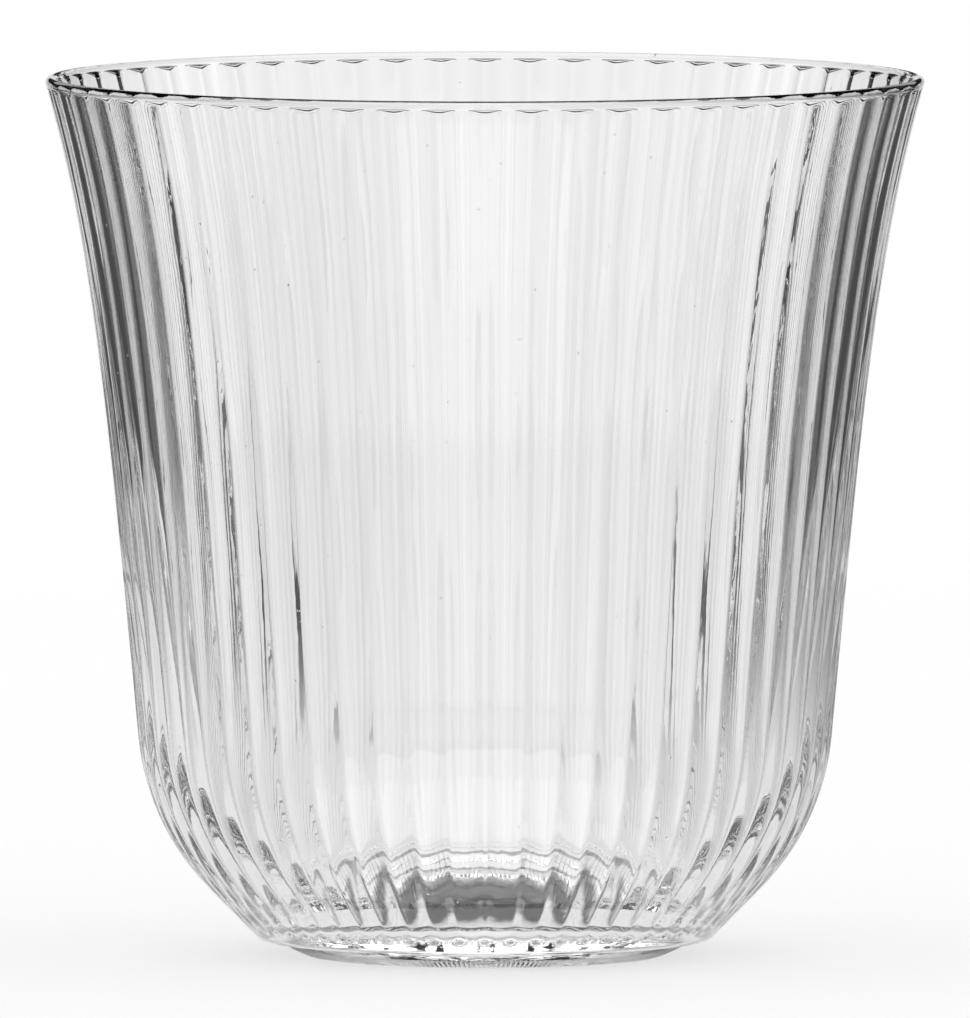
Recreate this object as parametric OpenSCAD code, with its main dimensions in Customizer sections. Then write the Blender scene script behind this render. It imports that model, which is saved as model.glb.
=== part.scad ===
// Fluted tea glass in clear glass: a bowl with moulded flutes stands on a short foot and ends
// in a smooth, rounded lip. Sizes are in millimetres. The glass stands on z = 0 about the Z axis.

/* [Overall] */
// Height from the table to the top of the lip
height = 88; // [70:1:120]
// Outside diameter of the mouth, across the lip
mouth_d = 88; // [84:1:104]

/* [Foot] */
// Outside diameter of the flat ring that the glass stands on
bearing_d = 36; // [32:0.5:40]
// Width of the flat ring
bearing_w = 3.6; // [1.5:0.1:6]
// Diameter of the foot's upper face
foot_d = 43; // [40:0.5:48]
// Height of the foot
foot_h = 1.6; // [1.2:0.1:4]
// Radius of the edge round the bottom of the foot
foot_edge_r = 0.5; // [0.1:0.1:0.8]
// Depth of the hollow under the foot
punt_h = 0.7; // [0.2:0.1:1]

/* [Bowl] */
// Diameter of the bowl's underside, where it joins the foot
seat_d = 45.4; // [42:0.2:50]
// Diameter at the knee, where the lines of the heel and of the wall would cross
knee_d = 67.8; // [60:0.2:74]
// Height of the knee above the table
knee_h = 13; // [10:0.5:20]
// Radius that rounds the knee outside
heel_r = 25; // [12:0.5:30]
// Lean of the wall above the knee, in degrees from upright
wall_lean = 5.4; // [2:0.1:7]
// Height at which the wall starts to flare
flare_h = 24; // [15:1:50]
// Power of the flare's curve: a higher one keeps the flare nearer the lip
flare_power = 4; // [2:0.5:6]

/* [Inside] */
// Thickness of the upper wall, square to the flutes' crests
wall_t = 1.3; // [1:0.1:2.5]
// Thickness of the wall where it meets the inside floor, square to the flutes' crests
heel_t = 5; // [3:0.1:7]
// Power by which the wall thickens from the lip to the floor: a higher one keeps it thin for longer
wall_power = 3; // [2:0.5:5]
// Length over which the wall thins to the lip
rim_run = 12; // [5:1:20]
// Thickness of the glass between the foot and the inside floor
base_t = 3.4; // [2:0.2:6]
// Radius between the floor and the wall inside
floor_r = 2; // [1:0.5:6]

/* [Flutes] */
// Number of flutes round the bowl
flutes = 60; // [40:2:64]
// Depth of the grooves between the flutes
flute_depth = 0.26; // [0.1:0.02:0.6]
// Length over which the grooves run out under the lip
lip_run = 0.6; // [0.4:0.1:4]
// Height of the smooth band between the foot and the flutes
band_h = 1.4; // [0.4:0.1:2.5]
// Length over which the grooves run out above that band
foot_run = 1.2; // [0.5:0.1:3]

/* [Lip] */
// Height of the smooth ring between the flutes and the lip's rounding
lip_h = 0.3; // [0.2:0.1:3]
// Thickness of the rounded lip
lip_t = 1.2; // [0.8:0.1:1.6]

/* [Hidden] */
// Points across each flute, and steps along each stretch of the outlines
flute_points = 4;
heel_steps = 5;
wall_steps = 7;
inside_steps = 8;
round_steps = 8;
punt_steps = 5;

// Allowance by which a cut runs past a face
cut_past = 1;

// The lip's rounding, and the plane where the lip meets the bowl
lip_round_z = height - lip_t / 2;
lip_z = lip_round_z - lip_h;
lip_round_x = mouth_d / 2 - lip_t / 2;

// Outline over the flutes' crests: a straight heel, a rounded knee, then the flared wall
floor_z = foot_h + base_t;
seat_x = seat_d / 2;
knee_x = knee_d / 2;
heel_lean = atan2(knee_x - seat_x, knee_h - foot_h);
heel_tangent = heel_r * tan((heel_lean - wall_lean) / 2);
heel_low_z = knee_h - heel_tangent * cos(heel_lean);
heel_top_z = knee_h + heel_tangent * cos(wall_lean);
heel_centre_x = knee_x + heel_tangent * sin(wall_lean) - heel_r * cos(wall_lean);
heel_centre_z = heel_top_z + heel_r * sin(wall_lean);

// Radius on the straight line of the wall, carried on above and below it
function line_x(z) = knee_x + (z - knee_h) * tan(wall_lean);

// What the flare adds to that line
flare_gap = mouth_d / 2 - line_x(lip_round_z);
function flare_x(z) = z < flare_h ? 0 : flare_gap * pow((z - flare_h) / (lip_round_z - flare_h), flare_power);

// Radius over the crests at a height
function wall_x(z) = line_x(z) + flare_x(z);
function crest_x(z) =
    z < heel_low_z ? seat_x + (z - foot_h) * tan(heel_lean) :
    z < heel_top_z ? heel_centre_x + sqrt(pow(heel_r, 2) - pow(z - heel_centre_z, 2)) :
    wall_x(z);

// Thickness of the wall, the lean of its outline, and the radius of its inside
function thickening(z) = (heel_t - wall_t) * pow((lip_z - z) / (lip_z - floor_z), wall_power);
function thinning(z) = (wall_t - lip_t) * pow(max(0, 1 - (lip_z - z) / rim_run), 2);
function thickness(z) = wall_t + thickening(z) - thinning(z);
function outline_lean(z) =
    z < heel_low_z ? heel_lean :
    z < heel_top_z ? asin((heel_centre_z - z) / heel_r) :
    wall_lean;
function inside_x(z) = crest_x(z) - thickness(z) / cos(outline_lean(z));

// Share of the flutes' depth at a height: a quarter round at each end, full between
function quarter_round(t) = sqrt(1 - pow(1 - min(1, max(0, t)), 2));
flutes_z = foot_h + band_h;
function flute_share(z) = quarter_round((z - flutes_z) / foot_run) * quarter_round((lip_z - z) / lip_run);

// Radius on a ring at an angle: round crests that meet in narrow grooves, one of them on the X axis
function across(angle) = let (turn = flutes * angle / 360) 2 * (turn - floor(turn)) - 1;
function flute_x(z, angle) = crest_x(z) - flute_depth * flute_share(z) * pow(across(angle), 2);

// Evenly spaced heights from one to another, both included
function heights(low, high, steps) = [for (i = [0 : steps]) low + (high - low) * i / steps];

// Points of the arc that rounds corner b of the path a, b, c
function unit(v) = v / norm(v);
function turned(v, angle) = [v.x * cos(angle) - v.y * sin(angle), v.x * sin(angle) + v.y * cos(angle)];
function corner_arc(a, b, c, r, steps) =
    let (
        to_a = unit(a - b),
        to_c = unit(c - b),
        half = acos(to_a * to_c) / 2,
        centre = b + unit(to_a + to_c) * r / sin(half),
        start = b + to_a * r / tan(half) - centre,
        sweep = sign(cross(to_c, to_a)) * (180 - 2 * half)
    )
    [for (i = [0 : steps]) centre + turned(start, sweep * i / steps)];

// Short disc with a hollow underside, standing on a flat ring
module foot() {
    ring_x = bearing_d / 2;
    hollow_x = ring_x - bearing_w;
    hollow = [for (i = [0 : punt_steps]) let (t = i / punt_steps) [hollow_x * t, punt_h * (1 - t * t)]];
    edge = corner_arc([hollow_x, 0], [ring_x, 0], [foot_d / 2, foot_h], foot_edge_r, round_steps);
    color("gainsboro", 0.6)
        rotate_extrude($fn = 180)
            polygon(concat(hollow, edge, [[foot_d / 2, foot_h], [0, foot_h]]));
}

// Body of the bowl over its flutes, as rings of points from the foot up to the lip
module fluted_body() {
    full_z = flutes_z + foot_run;
    zs = concat(
        [foot_h, flutes_z, flutes_z + foot_run / 4],
        full_z < heel_low_z ? [full_z] : [],
        heights(max(full_z, heel_low_z), heel_top_z, heel_steps),
        [for (z = heights(heel_top_z, lip_z - lip_run, wall_steps)) if (z > heel_top_z) z],
        [lip_z - lip_run / 3, lip_z - lip_run / 12, lip_z]
    );
    around = flutes * flute_points;
    points = [for (z = zs, i = [0 : around - 1])
        let (angle = 360 * i / around, x = flute_x(z, angle)) [x * cos(angle), x * sin(angle), z]];
    top = len(zs) - 1;
    sides = [for (ring = [0 : top - 1], i = [0 : around - 1])
        let (
            low = ring * around,
            high = low + around,
            next = (i + 1) % around
        )
        each [[low + i, high + i, high + next], [low + i, high + next, low + next]]];
    underside = [for (i = [0 : around - 1]) i];
    upper_face = [for (i = [around - 1 : -1 : 0]) top * around + i];
    polyhedron(points, concat(sides, [underside, upper_face]));
}

// Space inside the bowl: a flat floor, a rounded corner and the flared wall
module inside_space() {
    corner = [inside_x(floor_z), floor_z];
    wall_point = [inside_x(floor_z + floor_r), floor_z + floor_r];
    bend = corner_arc([0, floor_z], corner, wall_point, floor_r, round_steps);
    bend_top = bend[round_steps].y;
    heel = [for (z = heights(bend_top, heel_top_z, inside_steps)) if (z > bend_top) [inside_x(z), z]];
    rim_z = lip_z - rim_run;
    wall = [for (z = heights(heel_top_z, rim_z, inside_steps)) if (z > heel_top_z) [inside_x(z), z]];
    rim = [for (z = heights(rim_z, lip_z, inside_steps)) if (z > rim_z) [inside_x(z), z]];
    rotate_extrude($fn = 180)
        polygon(concat([[0, floor_z]], bend, heel, wall, rim,
            [[inside_x(lip_z), lip_z + cut_past], [0, lip_z + cut_past]]));
}

// The bowl: fluted outside, smooth inside
module fluted_bowl() {
    color("gainsboro", 0.4)
        difference() {
            fluted_body();
            inside_space();
        }
}

// Smooth ring with a rounded top that closes the wall
module lip() {
    outer = [crest_x(lip_z), lip_z];
    inner = [inside_x(lip_z), lip_z];
    lean = min(atan2(mouth_d / 2 - outer.x, lip_h), asin(min(1, lip_h / lip_t)));
    crown = [for (i = [0 : round_steps])
        let (angle = 180 * i / round_steps - lean)
        [lip_round_x + lip_t / 2 * cos(angle), lip_round_z + lip_t / 2 * sin(angle)]];
    color("gainsboro", 0.6)
        rotate_extrude($fn = 180)
            polygon(concat([inner, outer], crown));
}

foot();
fluted_bowl();
lip();
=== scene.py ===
import math

import bmesh
import bpy
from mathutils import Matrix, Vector, noise


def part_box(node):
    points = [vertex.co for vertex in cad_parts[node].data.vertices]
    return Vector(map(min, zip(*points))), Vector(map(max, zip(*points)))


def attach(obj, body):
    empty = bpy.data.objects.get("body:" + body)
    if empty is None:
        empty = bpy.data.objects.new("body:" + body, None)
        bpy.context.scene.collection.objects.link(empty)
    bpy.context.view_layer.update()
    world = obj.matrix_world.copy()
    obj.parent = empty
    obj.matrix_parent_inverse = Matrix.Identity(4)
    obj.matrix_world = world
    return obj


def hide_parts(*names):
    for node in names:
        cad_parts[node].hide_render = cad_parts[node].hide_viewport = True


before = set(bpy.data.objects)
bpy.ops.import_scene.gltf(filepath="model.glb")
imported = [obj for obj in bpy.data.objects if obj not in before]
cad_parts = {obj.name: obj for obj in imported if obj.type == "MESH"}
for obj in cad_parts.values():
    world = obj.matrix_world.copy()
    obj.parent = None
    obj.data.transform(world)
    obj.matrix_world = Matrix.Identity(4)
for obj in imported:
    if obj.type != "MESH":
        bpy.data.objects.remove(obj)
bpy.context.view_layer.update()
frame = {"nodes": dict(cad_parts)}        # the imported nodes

mm = 0.001
print("frame loaded:", ", ".join(frame["nodes"]))


# Outline of the glass

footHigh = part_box("foot")[1]
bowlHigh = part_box("fluted_bowl")[1]
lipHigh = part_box("lip")[1]

glass = {
    "height": lipHigh[2],
    "mouthRadius": lipHigh[1],
    "lipBase": bowlHigh[2],     # where the flutes end and the smooth lip starts
    "lipThickness": 1.2 * mm,
    "footHeight": footHigh[2],
    "footRadius": footHigh[0],
    "bearingRadius": 18 * mm,   # flat ring that the glass stands on
    "bearingWidth": 3.6 * mm,
    "footEdge": 0.5 * mm,       # rounding under the foot, and of its upper edge
    "footTopEdge": 0.3 * mm,
    "puntDepth": 0.7 * mm,      # hollow under the foot
    "seatRadius": 22.7 * mm,    # underside of the bowl
    "kneeRadius": 33.9 * mm,    # where the lines of the heel and of the wall would cross
    "kneeHeight": 13 * mm,
    "heelRadius": 25 * mm,
    "wallLean": math.radians(5.4),
    "flareStart": 24 * mm,
    "flarePower": 4,
    "wall": 1.3 * mm,
    "rimRun": 12 * mm,          # length over which the wall thins to the lip
    "wallAtFloor": 5.0 * mm,
    "wallPower": 3,             # a higher one keeps the wall thin for longer
    "floorHeight": 5.0 * mm,
    "floorCorner": 6.0 * mm,
    "flutes": 60,
    "fluteDepth": 0.26 * mm,
    "groovePower": 18,          # a higher one makes the groove's bottom sharper
    "lipRun": 0.6 * mm,         # lengths over which the grooves run out above and below
    "footRun": 1.2 * mm,
    "bandHeight": 1.4 * mm,     # smooth band between the foot and the flutes
    "fluteVariation": 0.25,     # share by which the grooves' depth wanders
    "variationLength": 4.5 * mm,
    "wave": 0.02 * mm,          # slow unevenness of the blown wall
    "waveLength": 9 * mm,
    "waveStretch": 3,           # how much longer both are up the wall than round it
    "waveStart": 8 * mm,        # height where the unevenness starts
    "waveGrow": 6 * mm,         # lengths over which it grows there and ends under the lip
    "waveEnd": 4 * mm,
    "grooveSeed": 3,
    "outsideSeed": 7,
    "insideSeed": 11,
    "hollowSteps": 10,          # steps along each stretch of the outline, from the hollow to the floor inside
    "footEdgeSteps": 6,
    "footTopSteps": 4,
    "bandSteps": 3,
    "fluteStartSteps": 5,
    "heelSteps": 16,
    "wallSteps": 36,
    "fluteEndSteps": 8,
    "lipSteps": 12,
    "insideSteps": 40,
    "bendSteps": 12,
    "floorSteps": 6,
    "fluteSteps": 10,           # and across each flute
    "weld": 0.001 * mm,
}

# the straight heel line, the arc that rounds the knee, and the lip's round top
heelLean = math.atan2(glass["kneeRadius"] - glass["seatRadius"], glass["kneeHeight"] - glass["footHeight"])
heelTangent = glass["heelRadius"] * math.tan((heelLean - glass["wallLean"]) / 2)
heelLow = glass["kneeHeight"] - heelTangent * math.cos(heelLean)
heelTop = glass["kneeHeight"] + heelTangent * math.cos(glass["wallLean"])
heelCentre = (
    glass["kneeRadius"] + heelTangent * math.sin(glass["wallLean"])
    - glass["heelRadius"] * math.cos(glass["wallLean"]),
    heelTop + glass["heelRadius"] * math.sin(glass["wallLean"]),
)
flutesLow = glass["footHeight"] + glass["bandHeight"]
lipRoundHeight = glass["height"] - glass["lipThickness"] / 2
lipRoundRadius = glass["mouthRadius"] - glass["lipThickness"] / 2


def lineRadius(z):
    return glass["kneeRadius"] + (z - glass["kneeHeight"]) * math.tan(glass["wallLean"])


def wallRadius(z):
    gap = glass["mouthRadius"] - lineRadius(lipRoundHeight)
    share = max(0, (z - glass["flareStart"]) / (lipRoundHeight - glass["flareStart"]))
    return lineRadius(z) + gap * share ** glass["flarePower"]


# radius over the flutes' crests
def crestRadius(z):
    if z < heelLow:
        return glass["seatRadius"] + (z - glass["footHeight"]) * math.tan(heelLean)
    if z < heelTop:
        return heelCentre[0] + math.sqrt(glass["heelRadius"] ** 2 - (z - heelCentre[1]) ** 2)
    return wallRadius(z)


def wallThickness(z):
    share = (glass["lipBase"] - z) / (glass["lipBase"] - glass["floorHeight"])
    near = max(0, 1 - (glass["lipBase"] - z) / glass["rimRun"])
    thick = glass["wall"] + (glass["wallAtFloor"] - glass["wall"]) * share ** glass["wallPower"]
    return thick - (glass["wall"] - glass["lipThickness"]) * near ** 2


def leanAt(z):
    arc = math.asin(min(1, max(-1, (heelCentre[1] - z) / glass["heelRadius"])))
    return max(glass["wallLean"], min(heelLean, arc))


def insideRadius(z):
    return crestRadius(z) - wallThickness(z) / math.cos(leanAt(z))


def spread(start, stop, count):
    return [start + (stop - start) * step / count for step in range(count + 1)]


def cornerArc(before, corner, after, radius, count):
    toBefore = (Vector(before) - Vector(corner)).normalized()
    toAfter = (Vector(after) - Vector(corner)).normalized()
    half = math.acos(toBefore.dot(toAfter)) / 2
    centre = Vector(corner) + (toBefore + toAfter).normalized() * radius / math.sin(half)
    first = Vector(corner) + toBefore * radius / math.tan(half) - centre
    last = Vector(corner) + toAfter * radius / math.tan(half) - centre
    return [centre + first.slerp(last, step / count) * radius for step in range(count + 1)]


def footOutline():
    ringOut = glass["bearingRadius"]
    ringIn = ringOut - glass["bearingWidth"]
    topEdge = (glass["footRadius"], glass["footHeight"])
    seat = (glass["seatRadius"], glass["footHeight"])
    hollow = [(ringIn * t, glass["puntDepth"] * (1 - t * t)) for t in spread(0, 1, glass["hollowSteps"])]
    edge = cornerArc((ringIn, 0), (ringOut, 0), topEdge, glass["footEdge"], glass["footEdgeSteps"])
    top = cornerArc(edge[-1], topEdge, seat, glass["footTopEdge"], glass["footTopSteps"])
    return hollow + edge + top


def outsideOutline():
    flutesHigh = glass["lipBase"] - glass["lipRun"]
    heights = spread(glass["footHeight"], flutesLow, glass["bandSteps"])
    heights += [flutesLow + glass["footRun"] * t * t for t in spread(0, 1, glass["fluteStartSteps"])[1:]]
    heights += spread(heights[-1], heelTop, glass["heelSteps"])[1:]
    heights += spread(heelTop, flutesHigh, glass["wallSteps"])[1:]
    heights += [glass["lipBase"] - glass["lipRun"] * t * t for t in spread(1, 0, glass["fluteEndSteps"])[1:]]
    return [(crestRadius(z), z) for z in heights]


# the rounding starts with the lean of the lip's outside
def lipOutline():
    ring = lipRoundHeight - glass["lipBase"]
    lean = math.atan2(glass["mouthRadius"] - crestRadius(glass["lipBase"]), ring)
    lean = min(lean, math.asin(min(1, ring / glass["lipThickness"])))
    half = glass["lipThickness"] / 2
    return [
        (lipRoundRadius + half * math.cos(angle - lean), lipRoundHeight + half * math.sin(angle - lean))
        for angle in spread(0, math.pi, glass["lipSteps"])
    ]


def insideOutline():
    floor = glass["floorHeight"]
    above = floor + glass["floorCorner"]
    bend = cornerArc((0, floor), (insideRadius(floor), floor), (insideRadius(above), above),
                     glass["floorCorner"], glass["bendSteps"])
    wall = [(insideRadius(z), z) for z in spread(glass["lipBase"], bend[-1][1], glass["insideSteps"])]
    flat = [(bend[0][0] * t, floor) for t in spread(1, 0, glass["floorSteps"])]
    return wall + bend[::-1][1:] + flat[1:]


def quarterRound(t):
    return math.sqrt(1 - (1 - min(1, max(0, t))) ** 2)


# depth of the flutes' outside under the crests
def fluteDrop(z, angle):
    share = quarterRound((z - flutesLow) / glass["footRun"])
    share *= quarterRound((glass["lipBase"] - z) / glass["lipRun"])
    across = abs(2 * (glass["flutes"] * angle / math.tau % 1) - 1)
    power = glass["groovePower"]
    low = (across ** 2 - 2 / power * across ** power) / (1 - 2 / power)
    return glass["fluteDepth"] * share * low


def unevenness(place, length, seed):
    upright = place.z / length / glass["waveStretch"]
    return noise.noise(Vector((place.x / length + seed, place.y / length, upright)))


def waveShare(z):
    low = quarterRound((z - glass["waveStart"]) / glass["waveGrow"])
    return low * quarterRound((glass["lipBase"] - z) / glass["waveEnd"])


def buildGlass():
    bm = bmesh.new()
    outer = bm.verts.layers.int.new("outer")
    foot = footOutline()
    outside = outsideOutline()
    outline = foot + outside + lipOutline() + insideOutline()
    verts = [bm.verts.new((r, 0, z)) for r, z in outline]
    edges = [bm.edges.new(pair) for pair in zip(verts, verts[1:])]
    for vert in verts[len(foot):len(foot) + len(outside)]:
        vert[outer] = 1
    # one flute is spun from the outline, then repeated round the axis and welded
    flute = math.tau / glass["flutes"]
    bmesh.ops.spin(bm, geom=verts + edges, axis=(0, 0, 1), angle=flute, steps=glass["fluteSteps"])
    bmesh.ops.spin(bm, geom=bm.verts[:] + bm.edges[:] + bm.faces[:], axis=(0, 0, 1),
                   angle=math.tau - flute, steps=glass["flutes"] - 1, use_duplicate=True)
    bmesh.ops.remove_doubles(bm, verts=bm.verts, dist=glass["weld"])
    bmesh.ops.recalc_face_normals(bm, faces=bm.faces)
    for vert in bm.verts:
        radius = math.hypot(vert.co.x, vert.co.y)
        height = vert.co.z
        wave = glass["wave"] * waveShare(height)
        drop = 0
        if vert[outer]:
            wander = unevenness(vert.co, glass["variationLength"], glass["grooveSeed"])
            drop = fluteDrop(height, math.atan2(vert.co.y, vert.co.x))
            drop *= 1 + glass["fluteVariation"] * wander
            drop += wave * unevenness(vert.co, glass["waveLength"], glass["outsideSeed"])
        elif height > glass["floorHeight"]:
            drop = wave * unevenness(vert.co, glass["waveLength"], glass["insideSeed"])
        if drop:
            vert.co.x *= 1 - drop / radius
            vert.co.y *= 1 - drop / radius
    mesh = bpy.data.meshes.new("fluted_glass")
    bm.to_mesh(mesh)
    bm.free()
    mesh.shade_smooth()
    piece = bpy.data.objects.new("fluted_glass", mesh)
    bpy.context.scene.collection.objects.link(piece)
    return piece


# Materials

surface = {
    "ior": 1.52,                # soda-lime glass
    "rippleWidth": 0.5 * mm,
    "rippleStretch": 0.2,       # width of a ripple as a share of its length
    "seedSpacing": 3 * mm,
    "seedCore": 0.02,           # reach of a seed, in shares of the spacing
    "seedEdge": 0.05,
    "seedHeight": 5.0,          # heights against that of the ripples
    "knurlHeight": 7.0,
    "knurlBars": 250.0,         # round the whole foot
    "knurlIn": 17.8 * mm,       # the bars start between these radii and end between these heights
    "knurlOut": 18.2 * mm,
    "knurlLow": 0.5 * mm,
    "knurlHigh": 0.9 * mm,
    "relief": 0.005 * mm,
}


def linear(hexColour):
    channels = [int(hexColour[i:i + 2], 16) / 255 for i in (1, 3, 5)]
    return [c / 12.92 if c <= 0.04045 else ((c + 0.055) / 1.055) ** 2.4 for c in channels] + [1]


def addNode(tree, kind, settings=None, **inputs):
    node = tree.nodes.new(kind)
    for name, value in (settings or {}).items():
        setattr(node, name, value)
    for name, value in inputs.items():
        key = int(name[1:]) if name[1:].isdigit() else name.replace("_", " ")
        if isinstance(value, bpy.types.NodeSocket):
            tree.links.new(value, node.inputs[key])
        else:
            node.inputs[key].default_value = value
    return node


def calc(tree, operation, first, second=0.0, third=0.0):
    node = addNode(tree, "ShaderNodeMath", {"operation": operation}, _0=first, _1=second, _2=third)
    return node.outputs[0]


def vectorCalc(tree, operation, first, second=(0, 0, 0)):
    return addNode(tree, "ShaderNodeVectorMath", {"operation": operation}, _0=first, _1=second)


def smoothStep(tree, value, low, high, first, last):
    node = addNode(tree, "ShaderNodeMapRange", {"interpolation_type": "SMOOTHSTEP"}, Value=value,
                   From_Min=low, From_Max=high, To_Min=first, To_Max=last)
    return node.outputs["Result"]


def clearGlass():
    material = bpy.data.materials.new("clear soda-lime glass")
    material.use_nodes = True
    tree = material.node_tree
    tree.nodes.clear()
    place = addNode(tree, "ShaderNodeTexCoord").outputs["Object"]
    # ripples from the mould, about 0.5 mm across and 2.5 mm along the flutes: broken dashes on the lights
    stretched = addNode(tree, "ShaderNodeMapping", Vector=place, Scale=(1, 1, surface["rippleStretch"]))
    ripple = addNode(tree, "ShaderNodeTexNoise", Vector=stretched.outputs[0],
                     Scale=0.5 / surface["rippleWidth"], Detail=2.0, Roughness=0.5)
    # seeds, tiny bubbles at the surface: dark specks
    cells = addNode(tree, "ShaderNodeTexVoronoi", Vector=place, Scale=1 / surface["seedSpacing"])
    seeds = smoothStep(tree, cells.outputs["Distance"], surface["seedCore"], surface["seedEdge"], 1.0, 0.0)
    # knurled edge of the foot, bars 0.45 mm apart round the bearing ring: a dotted dark line
    axes = addNode(tree, "ShaderNodeSeparateXYZ", Vector=place)
    turn = calc(tree, "ARCTAN2", axes.outputs["Y"], axes.outputs["X"])
    bars = calc(tree, "SINE", calc(tree, "MULTIPLY", turn, surface["knurlBars"]))
    level = vectorCalc(tree, "MULTIPLY", place, (1, 1, 0))
    radius = vectorCalc(tree, "LENGTH", level.outputs[0]).outputs["Value"]
    low = smoothStep(tree, axes.outputs["Z"], surface["knurlLow"], surface["knurlHigh"], 1.0, 0.0)
    edge = smoothStep(tree, radius, surface["knurlIn"], surface["knurlOut"], 0.0, low)
    knurl = calc(tree, "MULTIPLY", bars, edge)
    seeded = calc(tree, "MULTIPLY_ADD", seeds, surface["seedHeight"], ripple.outputs[0])
    height = calc(tree, "MULTIPLY_ADD", knurl, surface["knurlHeight"], seeded)
    relief = addNode(tree, "ShaderNodeBump", Strength=1.0, Distance=surface["relief"], Height=height)
    shader = addNode(tree, "ShaderNodeBsdfPrincipled", Base_Color=linear("#FFFFFF"), Roughness=0.0,
                     IOR=surface["ior"], Transmission_Weight=1.0, Normal=relief.outputs[0])
    addNode(tree, "ShaderNodeOutputMaterial", Surface=shader.outputs["BSDF"])
    return material


piece = buildGlass()
piece.data.materials.append(clearGlass())
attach(piece, "root")
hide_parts("foot", "fluted_bowl", "lip")
print("glass made:", len(piece.data.polygons), "faces")


# Floor, studio and camera

studio = {
    "floorRadius": 0.6,
    "floorFade": 0.12,
    "floorSegments": 128,
    "floorColour": "#F8F8F8",
    "floorGlow": 0.94,          # the floor's white as the glass shows it
    "floorWhite": 0.6,          # share of even white in the floor, so that the shadow on it stays faint
    "nearInner": 0.04,          # painted light and shade on the floor as the glass shows it: white round the glass, further out a strip before each board and painted shade between
    "nearOuter": 0.22,
    "paintedStrip": 0.85,             # a strip of painted light on the floor that only the glass shows, from behind on the left to ahead on the right
    "paintedStripInner": 0.0378,      # half its width, within its soft edge and with it
    "paintedStripOuter": 0.0504,
    "paintedStripBehind": 0.24,       # how far it reaches
    "paintedStripAhead": 0.42,
    "paintedStripEdge": 0.03,
    "shadeUnderFoot": 0.0,           # painted shadow: what is left of the white under the hollow of the foot
    "shadeInner": 0.0088,
    "shadeOuter": 0.0112,
    "shadeWide": 1.5,           # the shade is wider across, as the light comes from ahead and behind
    "contactShadow": 0.1,             # painted contact shadow: what is left of the white round the edge of the bearing ring
    "contactInner": 0.0178,
    "contactOuter": 0.0198,
    "contactEdge": 0.0004,
    "light": 1.05,              # even light on the floor
    "backdrop": 0.97,           # white boards ahead, behind, left and right
    "boardSides": 0.78,         # how bright a board still is at its edges
    "boardHalf": 20,            # half the width of the boards ahead and behind, in degrees of azimuth
    "flankHalf": 12,            # the same for the boards left and right
    "boardEdge": 3,
    "riseEdge": 1.5,
    "boardTop": 4.5,            # degrees above the horizon at which the boards end
    "upperLow": 10.5,           # and at which a second row of them starts and ends
    "upperTop": 24,
    "gap": 0.07,                # dark grey between the boards
    "above": 0.02,              # dark room over them
    "overheadLow": 50,          # and from here up the soft light over the glass
    "overhead": 1.6,
    "bounces": 32,              # enough for light to leave the glass
    "reflections": 16,
}


# white of the board ahead, falling to its sides, and of all four boards with the gaps between them
def boardLevels(tree, axes):
    absX = calc(tree, "ABSOLUTE", axes.outputs["X"])
    absY = calc(tree, "ABSOLUTE", axes.outputs["Y"])
    azimuth = calc(tree, "ARCTAN2", absX, absY)
    half = math.radians(studio["boardEdge"]) / 2
    side = math.radians(studio["boardHalf"])
    flank = math.radians(90 - studio["flankHalf"])
    fall = addNode(tree, "ShaderNodeMapRange", Value=azimuth, From_Max=side,
                   To_Min=studio["backdrop"], To_Max=studio["boardSides"]).outputs["Result"]
    ahead = smoothStep(tree, azimuth, side - half, side + half, fall, studio["gap"])
    boards = smoothStep(tree, azimuth, flank - half, flank + half, ahead, studio["backdrop"])
    return fall, boards


def seenByGlass(tree, path):
    return calc(tree, "MAXIMUM", path.outputs["Is Transmission Ray"], path.outputs["Is Glossy Ray"])


# painted light: a pale strip on the floor that only the glass shows
def paintedStripLevel(tree, place):
    slant = math.sqrt(0.5)
    along = vectorCalc(tree, "DOT_PRODUCT", place, (slant, -slant, 0)).outputs["Value"]
    across = vectorCalc(tree, "DOT_PRODUCT", place, (slant, slant, 0)).outputs["Value"]
    aside = calc(tree, "ABSOLUTE", across)
    strip = smoothStep(tree, aside, studio["paintedStripInner"], studio["paintedStripOuter"], studio["paintedStrip"], 0.0)
    edge = studio["paintedStripEdge"]
    paintedStrip = 0.0
    for end, level in ((-studio["paintedStripBehind"], strip), (studio["paintedStripAhead"], 0.0)):
        paintedStrip = smoothStep(tree, along, end - edge, end + edge, paintedStrip, level)
    return paintedStrip


# painted shadow on the floor that only the glass shows, under the hollow of the foot and round the edge of
# the bearing ring
def footShade(tree, place, distance):
    squeezed = vectorCalc(tree, "MULTIPLY", place, (1 / studio["shadeWide"], 1, 1))
    within = vectorCalc(tree, "LENGTH", squeezed.outputs[0]).outputs["Value"]
    shade = smoothStep(tree, within, studio["shadeInner"], studio["shadeOuter"],
                       studio["shadeUnderFoot"], studio["floorGlow"])
    edge = studio["contactEdge"]
    # painted contact shadow round the edge of the bearing ring
    for name, level in (("contactInner", studio["contactShadow"]), ("contactOuter", studio["floorGlow"])):
        shade = smoothStep(tree, distance, studio[name] - edge, studio[name] + edge, shade, level)
    return shade


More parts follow.
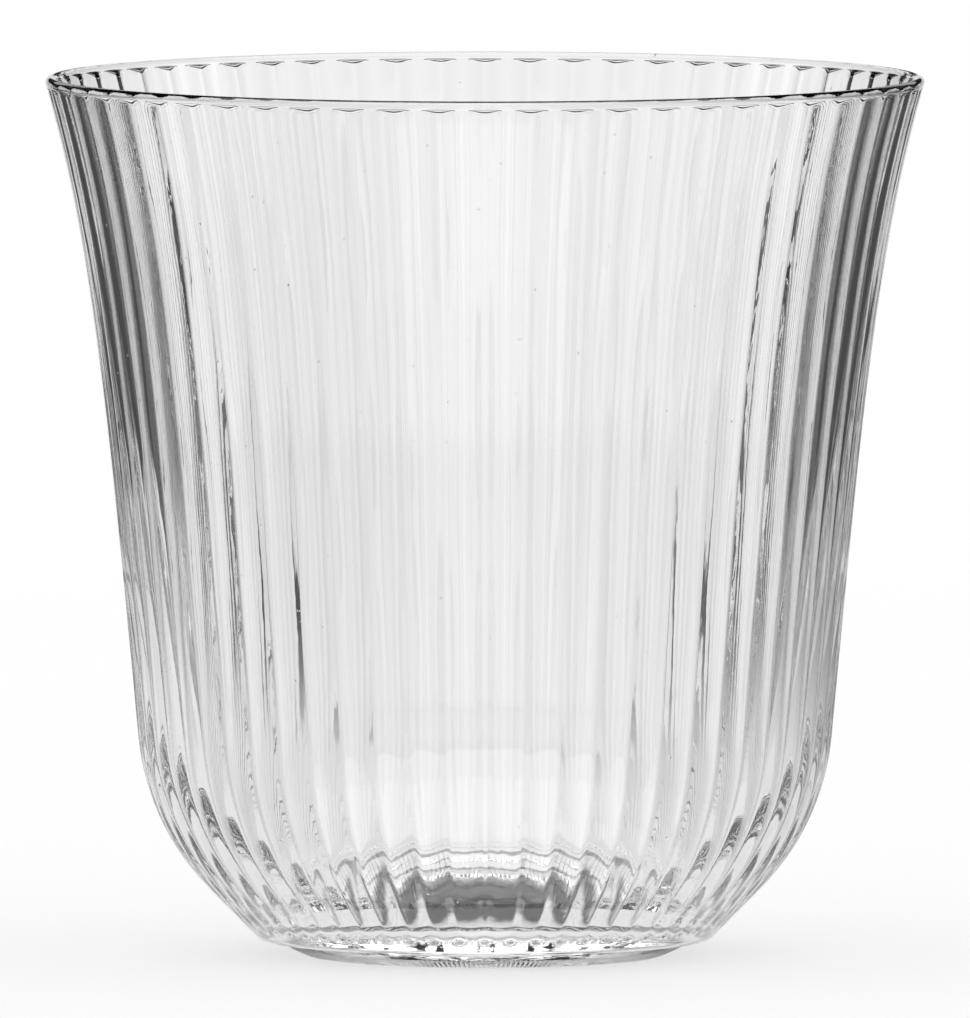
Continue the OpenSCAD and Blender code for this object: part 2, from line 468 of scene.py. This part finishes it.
def mattBoard():
    material = bpy.data.materials.new("matt white board")
    material.use_nodes = True
    tree = material.node_tree
    tree.nodes.clear()
    path = addNode(tree, "ShaderNodeLightPath")
    place = addNode(tree, "ShaderNodeTexCoord").outputs["Object"]
    distance = vectorCalc(tree, "LENGTH", place).outputs["Value"]
    axes = addNode(tree, "ShaderNodeSeparateXYZ", Vector=place)
    # to the eye: matt white with a faint shadow
    matt = addNode(tree, "ShaderNodeBsdfDiffuse", Color=linear(studio["floorColour"]))
    even = addNode(tree, "ShaderNodeEmission", Color=linear("#FFFFFF"), Strength=1.0)
    share = calc(tree, "MULTIPLY", path.outputs["Is Camera Ray"], studio["floorWhite"])
    pale = addNode(tree, "ShaderNodeMixShader", Fac=share, _1=matt.outputs[0], _2=even.outputs[0])
    # through the glass only, painted light and shade: white near it, painted shadow under the foot, and
    # strips before the boards with painted shade between them further out
    fall, boards = boardLevels(tree, axes)
    white = smoothStep(tree, distance, studio["nearInner"], studio["nearOuter"], fall, boards)
    white = calc(tree, "MAXIMUM", white, paintedStripLevel(tree, place))
    glow = calc(tree, "MULTIPLY", white, footShade(tree, place, distance))
    lit = addNode(tree, "ShaderNodeEmission", Color=linear("#FFFFFF"), Strength=glow)
    board = addNode(tree, "ShaderNodeMixShader", Fac=seenByGlass(tree, path), _1=pale.outputs[0],
                    _2=lit.outputs[0])
    # the rim of the floor fades into the backdrop
    clear = addNode(tree, "ShaderNodeBsdfTransparent")
    rim = studio["floorRadius"]
    fade = smoothStep(tree, distance, rim - studio["floorFade"], rim, 0.0, 1.0)
    mix = addNode(tree, "ShaderNodeMixShader", Fac=fade, _1=board.outputs[0], _2=clear.outputs[0])
    addNode(tree, "ShaderNodeOutputMaterial", Surface=mix.outputs[0])
    return material


def buildFloor():
    bm = bmesh.new()
    bmesh.ops.create_circle(bm, cap_ends=True, segments=studio["floorSegments"], radius=studio["floorRadius"])
    mesh = bpy.data.meshes.new("floor")
    bm.to_mesh(mesh)
    bm.free()
    mesh.materials.append(mattBoard())
    floor = bpy.data.objects.new("floor", mesh)
    bpy.context.scene.collection.objects.link(floor)


def buildWorld():
    world = bpy.data.worlds.new("studio")
    bpy.context.scene.world = world
    world.use_nodes = True
    tree = world.node_tree
    tree.nodes.clear()
    path = addNode(tree, "ShaderNodeLightPath")
    way = addNode(tree, "ShaderNodeTexCoord")
    axes = addNode(tree, "ShaderNodeSeparateXYZ", Vector=way.outputs["Generated"])
    boards = boardLevels(tree, axes)[1]
    rise = calc(tree, "ARCSINE", axes.outputs["Z"])
    half = math.radians(studio["riseEdge"]) / 2
    level = boards
    for name, white in (("boardTop", studio["above"]), ("upperLow", boards), ("upperTop", studio["above"]),
                        ("overheadLow", studio["overhead"])):
        start = math.radians(studio[name])
        level = smoothStep(tree, rise, start - half, start + half, level, white)
    # the glass shows the boards, and all other light is even
    direct = calc(tree, "LESS_THAN", path.outputs["Diffuse Depth"], 0.5)
    byGlass = calc(tree, "MULTIPLY", seenByGlass(tree, path), direct)
    inGlass = addNode(tree, "ShaderNodeMix", _0=byGlass, _2=studio["light"], _3=level)
    seen = addNode(tree, "ShaderNodeMix", _0=path.outputs["Is Camera Ray"], _2=inGlass.outputs[0], _3=1.0)
    shade = addNode(tree, "ShaderNodeBackground", Color=linear("#FFFFFF"), Strength=seen.outputs[0])
    addNode(tree, "ShaderNodeOutputWorld", Surface=shade.outputs[0])


camera = {
    "distance": 3.5,
    "height": 0.290,
    "aim": 0.0446,              # height of the picture's centre
    "pixel": 0.1001 * mm,       # size of a pixel at the glass
    "imageHeight": 1018,
    "reach": 20,                # how far the camera sees
}


def buildCamera():
    data = bpy.data.cameras.new("camera")
    eye = Vector((0, -camera["distance"], camera["height"]))
    target = Vector((0, 0, camera["aim"]))
    data.lens = data.sensor_width * (target - eye).length / (camera["imageHeight"] * camera["pixel"])
    data.clip_end = camera["reach"]
    shot = bpy.data.objects.new("camera", data)
    shot.location = eye
    shot.rotation_euler = (target - eye).to_track_quat("-Z", "Y").to_euler()
    bpy.context.scene.collection.objects.link(shot)
    bpy.context.scene.camera = shot


buildFloor()
buildWorld()
buildCamera()
scene = bpy.context.scene
scene.view_settings.view_transform = "Standard"
scene.cycles.max_bounces = studio["bounces"]
scene.cycles.transmission_bounces = studio["bounces"]
scene.cycles.glossy_bounces = studio["reflections"]
print("studio made")
